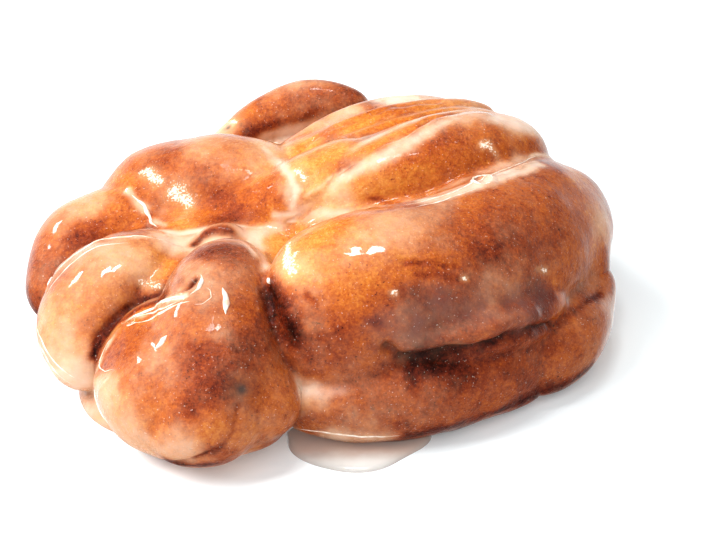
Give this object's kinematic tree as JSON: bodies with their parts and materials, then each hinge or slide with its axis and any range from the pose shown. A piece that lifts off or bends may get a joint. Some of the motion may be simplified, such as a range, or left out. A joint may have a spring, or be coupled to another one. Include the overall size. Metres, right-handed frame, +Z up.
{
  "type": "apple fritter",
  "caption": "Glazed apple fritter: an uneven fried round of dough in folded lobes and ridges, under a thin shiny glaze that has run into a small pool in front.",
  "frame": {"origin": "centre of the bounding box on the table, under the middle of the fritter", "axes": "+X along the fritter's longest side, +Y away from the side that the picture shows, +Z up from the table"},
  "size_m": [0.128, 0.124, 0.045],
  "materials": {
    "crust": "deep-fried wheat dough, golden to dark brown, under a thin clear to milky sugar glaze; glossy",
    "glaze": "set sugar glaze, translucent white, glossy"
  },
  "bodies": {
    "root": {"fritter": "crust", "glaze_puddle": "glaze"}
  },
  "joints": []
}
